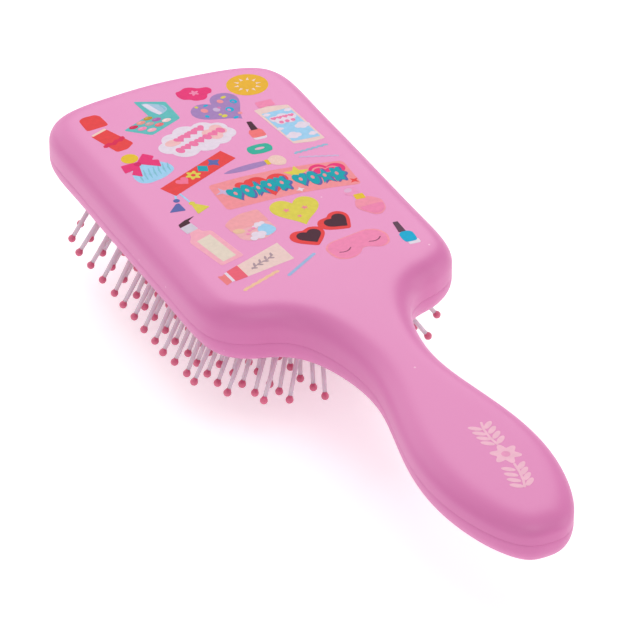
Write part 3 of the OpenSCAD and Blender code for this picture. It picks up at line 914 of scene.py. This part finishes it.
def print_lower(ink):
    """The lower half of the back: banners, tassels, bottles, hearts, glasses, sleep mask."""
    add, put, patch = ink.add, ink.put, ink.patch
    # red banner with four plain charms
    add([(-23.4, 182.7), (-21, 177.3), (2.7, 187.9), (0.5, 193.4)], RED)
    put(heart(4.2), (-15.9, 183.3, 22), (244, 116, 150), 2)
    put(flower(1.9, 6, 0.25, 36), (-12, 185), LIME, 2)
    put(oval(0.7, 0.7, 14), (-12, 185), RED, 3)
    put([(-1.9, 0), (0, 2.2), (1.9, 0), (0, -2.2)], (-8.1, 187, 22), AQUA, 2)
    put(star(2.4, 4, 0.5), (-4, 188.6, 20), NAVY, 2)
    # tassels
    patch([(-26.4, 170.1), (-21.7, 169.2), (-21.9, 173.4), (-22.8, 173.5)], 0.5, NAVY, 2)
    patch([(-19.5, 166), (-14.9, 168.2), (-18, 171.3), (-19.2, 170.9)], 0.5, LIME, 2)
    put(oval(0.95, 0.9), (-22, 174.9), NAVY, 3)
    put(oval(0.9, 0.9), (-18.7, 171.8), LIME, 3)
    add(stroke(line((-21.2, 177.4), (-21.8, 175.4)), 0.6), SKY)
    add(stroke(line((-19.6, 177.8), (-18.9, 172.4)), 0.6), SKY)
    # salmon banner with hearts, stars and a row of beads
    patch([(-10.9, 178.1), (0, 178.2), (10, 177.4), (20, 175.6), (29.2, 173.2), (28.5, 159.8), (20, 161.8),
        (10, 163.3), (0, 163.8), (-11.4, 164)], 1.6, SALMON)
    put(heart(6.4), (-0.9, 173.3, 6), RED, 2)
    put(heart(12.4, 0.1), (4.9, 170.6, -8), RED, 2)
    put(star(3.9), (14.6, 173, -12), LIME, 2)
    put(heart(10.6), (22.7, 169.6, -18), HOT, 2)
    put(heart(8.2), (22.2, 169.4, -18), SALMON, 3)
    put(heart(7.2), (22.1, 169.2, -18), HOT, 4)
    put(star(2.7, 4, 0.3), (-8.3, 173.2, 12), LILAC, 2)
    put(star(1.3, 4, 0.45), (11.7, 164.8, 0), MIST, 2)
    put(star(1.6, 4, 0.4), (27.4, 162.4, 30), RED, 2)
    beads = [(-5.6, 170.6, "heart"), (-2, 170.6, "drop"), (1.4, 170.5, "star"), (4.9, 170.4, "heart"),
        (8.5, 170, "flower"), (14.1, 169.2, "heart"), (17.6, 168.7, "drop"), (21.1, 168.1, "star"),
        (24.6, 167.5, "flower")]
    forms = {"heart": heart(4.3, 0.1, 30), "drop": oval(1.5, 2.1, 20), "star": star(2.5),
        "flower": flower(2, 6, 0.2, 36)}
    for k, (x, y, form) in enumerate(beads):
        ring = [(u, 1.75 * v) for u, v in forms[form]]
        put(ring, (x + 0.5, y - 0.4, 2 - 1.2 * k, 1.06), NAVY, 5)
        put(ring, (x, y, 2 - 1.2 * k), (2, 164, 176), 6)
        put(oval(0.5, 0.9, 12), (x, y + 0.3, 2 - 1.2 * k), SALMON, 7)
    # pump bottle
    patch([(-27.1, 161.7), (-26.9, 163.3), (-24.4, 164.7), (-21, 165.6), (-23.5, 164), (-23.4, 162.8)], 0.3,
        PLUM, 3)
    patch([(-27.2, 161.5), (-23.3, 162.7), (-22.7, 159.3), (-26.6, 158)], 0.3, (214, 202, 218), 2)
    patch([(-26, 158.2), (-22.7, 159.4), (-22.3, 157.6), (-19.8, 156.8), (-17.3, 141.5), (-25, 139.4),
        (-27.9, 153.8), (-26.3, 156.2)], 0.8, BLUSH)
    add([(-25.9, 153.5), (-21.1, 155.2), (-19.2, 142.5), (-23.8, 141.1)], (230, 214, 198), 2)
    # cream jar
    patch([(-15, 154.4), (-3.6, 154.8), (-3.1, 149.8), (-5, 147.8), (-8.6, 146.5), (-12.5, 147.2),
        (-14.5, 149)], 1.2, (240, 176, 184))
    patch([(-15.6, 157.3), (-13.4, 159.2), (-9.2, 160.9), (-3.8, 161), (-3.3, 154.6), (-9, 153.8),
        (-15.2, 153.3)], 0.8, (243, 164, 170), 2)
    patch([(-8.6, 151.2), (-6, 154.4), (-3.6, 151.6), (-3.3, 149.4), (-5.2, 147.9), (-7.4, 147.4)], 1, SKY, 3)
    put(cloud([(-1.9, 0, 1.1), (0, 0.6, 1.4), (1.3, -0.4, 1.3), (0, -0.9, 1.2)], 40), (-9.4, 148.8, 30), MIST,
        4)
    put(cloud([(-1.4, 0, 0.8), (0, 0.4, 1), (1.4, 0.1, 0.8), (0, 0, 0.8)], 40), (-7, 153.5, 20), MIST, 4)
    put(oval(1.7, 1.2), (-13.3, 152.9, -20), (236, 192, 160), 3)
    for x, y in ((-11.6, 150.6), (-10.4, 152), (-9, 152.6)):
        put(oval(0.6, 0.5, 12), (x, y), (246, 150, 190), 5)
    # yellow heart
    put([(x, 1.12 * y) for x, y in heart(14.2, 0.16)], (5.8, 155, -6), LIME)
    for x, y, r, a in ((3.2, 156.7, 1.2, 5), (8.5, 155.9, 1.2, 5), (5.3, 152.5, 0.9, 30)):
        put(star(r), (x, y, a), (238, 140, 150), 2)
    # heart glasses
    for x, y, a in ((2.9, 141.8, 6), (13, 145.3, 26)):
        put(heart(10.6, 0.45), (x, y, a), RED, 2)
        put(heart(7.4, 0.3), (x + 0.4, y, a), PLUM, 4)
    add(stroke([(6.2, 145), (7.6, 144.3), (9, 144.5), (10.6, 146.2)], 1.7), RED, 3)
    # cream tube
    patch([(-21.6, 137.5), (-6.4, 143.1), (-5.7, 133.9), (-21.2, 131.4)], 0.3, CREAM)
    patch([(-25.4, 136.1), (-21.3, 137.7), (-20.9, 131.4), (-25, 130.8)], 0.3, (238, 98, 118), 2)
    patch([(-26.2, 135.6), (-25.3, 135.9), (-25, 131.1), (-25.9, 130.9)], 0.1, MIST, 2)
    patch([(-28.5, 135.1), (-27.2, 134.7), (-26.2, 135.5), (-25.9, 131), (-28, 130)], 0.4, (240, 128, 132), 2)
    add(stroke([(-18.4, 134.2), (-15.6, 135.9), (-12.6, 136.6), (-10.2, 138.2)], 0.4), TAUPE, 2)
    for k in range(4):
        for side in (-1, 1):
            put(oval(0.95, 0.36, 12), (-17.2 + 2.1 * k + 0.3 * side, 135.2 + 0.85 * k + 0.75 * side,
                25 + 50 * side), TAUPE, 3)
    # sticks
    add(stroke(zigzag((-24.8, 125.8), (-12.5, 130.3), 5, 0.12), 1.1), (243, 196, 160))
    add(stroke(line((-10.8, 127), (0.3, 133.6)), 1), (160, 184, 222))
    # sleep mask
    mask = rounded([(4, 131), (3.8, 134.4), (6.4, 136.6), (12, 137.4), (18.5, 138.4), (21.8, 136.9),
        (23, 133.4), (21.8, 129.6), (19, 128.3), (15, 130.4), (13.6, 130.2), (11.2, 127.6), (8, 126.8),
        (5, 128)], 2.4)
    centre = np.array([13.4, 132.6])
    add(mask, (246, 150, 168))
    add(centre + (np.array(mask) - centre) * 0.935, (242, 138, 180), 2)
    for x, y in ((8.8, 131), (18.6, 132.3)):
        put(stroke([(-2, 0.3), (-1, -0.2), (0, -0.35), (1, -0.1), (2, 0.6)], 0.36), (x, y, 9), (150, 78, 112),
            3)
    # scent bottle with a puff
    put(oval(2.1, 2.2), (23.8, 157.3), (238, 152, 194))
    put(oval(1.3, 1), (23.3, 158.3, 20), (228, 176, 210), 2)
    put(bar(2.9, 2.7, 0.4), (24.8, 154.2, -5), YELLOW, 3)
    patch([(22.8, 153.2), (27, 153.6), (29.8, 150.2), (28.9, 145.6), (26.5, 143.5), (24.6, 143.8),
        (22.2, 147.2), (21.3, 149.6)], 1.4, (243, 148, 170), 2)
    patch([(22.2, 149), (29.4, 149), (28.6, 145.8), (26.4, 144.1), (24.7, 144.4), (22.6, 147.2)], 1,
        (240, 134, 176), 3)
    # blue nail varnish
    put(rounded([(-1.05, -2.7), (1.05, -2.7), (0.75, 2.7), (-0.75, 2.7)], 0.3), (27.3, 135.3, -5),
        (98, 66, 86), 3)
    put(rounded([(-1.7, -1.1), (1.7, -1.1), (1.7, 1.1), (-1.7, 1.1)], 0.6), (27.7, 126.9, -3), MIST)
    put(rounded([(-1.7, -2.7), (1.7, -2.7), (2.1, -0.6), (2, 1.9), (0.8, 2.8), (-0.8, 2.8), (-2, 1.9),
        (-2.1, -0.6)], 0.9), (27.4, 129.9, -4), CYAN, 2)


def print_handle(ink):
    """A plain sprig and flower in a paler pink on the handle."""
    pale = (246, 190, 210)
    add, put = ink.add, ink.put
    put(flower(3.4, 6, 0.24), (3.6, 30.5, 90), pale)
    put(oval(1.2, 1.2), (3.6, 30.5), (238, 158, 196), 2)
    add(stroke([(3.6, 35), (3.2, 38.5), (3.4, 42), (4.2, 45)], 0.7), pale)
    add(stroke([(3.6, 26), (3.2, 22.5), (2.4, 19), (1.4, 16.4)], 0.7), pale)
    for k in range(4):
        for s in (-1, 1):
            put(oval(1.9, 0.8, 18), (3.4 + 1.9 * s, 36.4 + 2.3 * k, 90 - 52 * s), pale)
            put(oval(1.9, 0.8, 18), (3 - 0.45 * k + 1.9 * s, 24.6 - 2.3 * k, 90 + 128 * s), pale)


# ---- assemble
def dress(ob, material, body=None):
    """Gives a piece its finish and the body that it rides on."""
    ob.data.materials.clear()
    ob.data.materials.append(material)
    if body:
        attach(ob, body)
    return ob


back = dress(make_back_shell(), PAINT, "casing")
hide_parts("back_shell")
front = dress(make_front_shell(), PAINT, "casing")
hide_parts("front_shell")

prints = Print()
print_make_up(prints)
print_lower(prints)
print_handle(prints)
dress(prints.finish("back_print"), INK, "casing")

cushion = dress(make_cushion(), RUBBER)
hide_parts("air_cushion")
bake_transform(cushion)

shaft_shape, ball_shape, collar_shape = make_pin_shapes()
for r in range(1, ROWS + 1):
    body = "row_%02d" % r
    pins = stand("row_%02d_pins" % r, [r], shaft_shape, NYLON)
    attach(pins, body)
    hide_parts("pin_row_%02d" % r)
    tips = stand("row_%02d_tips" % r, [r], ball_shape, RESIN)
    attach(tips, body)
    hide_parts("tip_row_%02d" % r)
collars = stand("cushion_collars", range(1, ROWS + 1), collar_shape, RUBBER, bow=0.0)
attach(collars, "cushion")
for shape in (shaft_shape, ball_shape, collar_shape):
    bpy.data.objects.remove(shape)

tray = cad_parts["cushion_tray"]
tray.data.materials.clear()
tray.data.materials.append(TRAY)


# ---- floor, light, camera, in metres
FLOOR_HALF, FLOOR_AT, FLOOR_GLOW = 3.0, -0.0002, 0.36
LIGHTS_AIM = Vector((0, 0, 0.03))
LIGHTS = (  # name, place, width, watts
    ("key", (0.0, -0.4, 1.1), 0.7, 2.6),
    ("fill_left", (-0.9, -0.6, 0.7), 0.8, 1.2),
    ("fill_right", (0.9, -0.4, 0.4), 0.8, 2.0),
    ("far_left", (-0.4, 1.15, 0.7), 1.2, 5.6),
    ("rim", (0.6, 1.05, 0.85), 1.0, 7.2))
SKY_STRENGTH = 0.58
CAMERA_TURNS = -27.13, 33.74, 0.29  # degrees round, up and rolled
CAMERA_AWAY, CAMERA_SHIFT = 1.2, (-0.0371, -0.0085)
SENSOR, LENS = 36.0, 253.0  # mm


def make_floor():
    a, z = FLOOR_HALF, FLOOR_AT
    mesh = bpy.data.meshes.new("floor")
    mesh.from_pydata([(-a, -a, z), (a, -a, z), (a, a, z), (-a, a, z)], [], [(0, 1, 2, 3)])
    ob = place("floor", mesh)
    mat = make_finish("pale_floor", (0.9, 0.9, 0.9), mottle=0.004, mottle_scale=3, grain=400, depth=0.02,
                      rough=0.8, spread=0.02, Emission_Color=(1, 1, 1, 1), Emission_Strength=FLOOR_GLOW)
    mesh.materials.append(mat)


def add_light(name, where, size, power):
    data = bpy.data.lights.new(name, "AREA")
    data.shape, data.size, data.energy = "DISK", size, power
    ob = place(name, data)
    ob.location = where
    ob.rotation_euler = (LIGHTS_AIM - Vector(where)).to_track_quat("-Z", "Y").to_euler()


def make_camera():
    az, el, roll = (radians(turn) for turn in CAMERA_TURNS)
    away = Vector((sin(az) * cos(el), -cos(az) * cos(el), sin(el)))
    data = bpy.data.cameras.new("camera")
    data.sensor_width, data.lens = SENSOR, LENS
    data.shift_x, data.shift_y = CAMERA_SHIFT
    data.clip_start, data.clip_end = 0.05, 20
    ob = place("camera", data)
    ob.location = Vector((0, 0, PARTING * MM)) + away * CAMERA_AWAY
    ob.rotation_euler = (away.to_track_quat("Z", "Y").to_matrix() @ Matrix.Rotation(roll, 3, "Z")).to_euler()
    bpy.context.scene.camera = ob


def make_sky():
    world = bpy.data.worlds.new("studio")
    world.use_nodes = True
    sky = world.node_tree.nodes["Background"].inputs
    sky["Color"].default_value, sky["Strength"].default_value = (1, 1, 1, 1), SKY_STRENGTH
    bpy.context.scene.world = world


make_floor()
make_camera()
for light in LIGHTS:
    add_light(*light)
make_sky()
bpy.context.scene.view_settings.view_transform = "Standard"
bpy.context.scene.view_settings.look = "None"
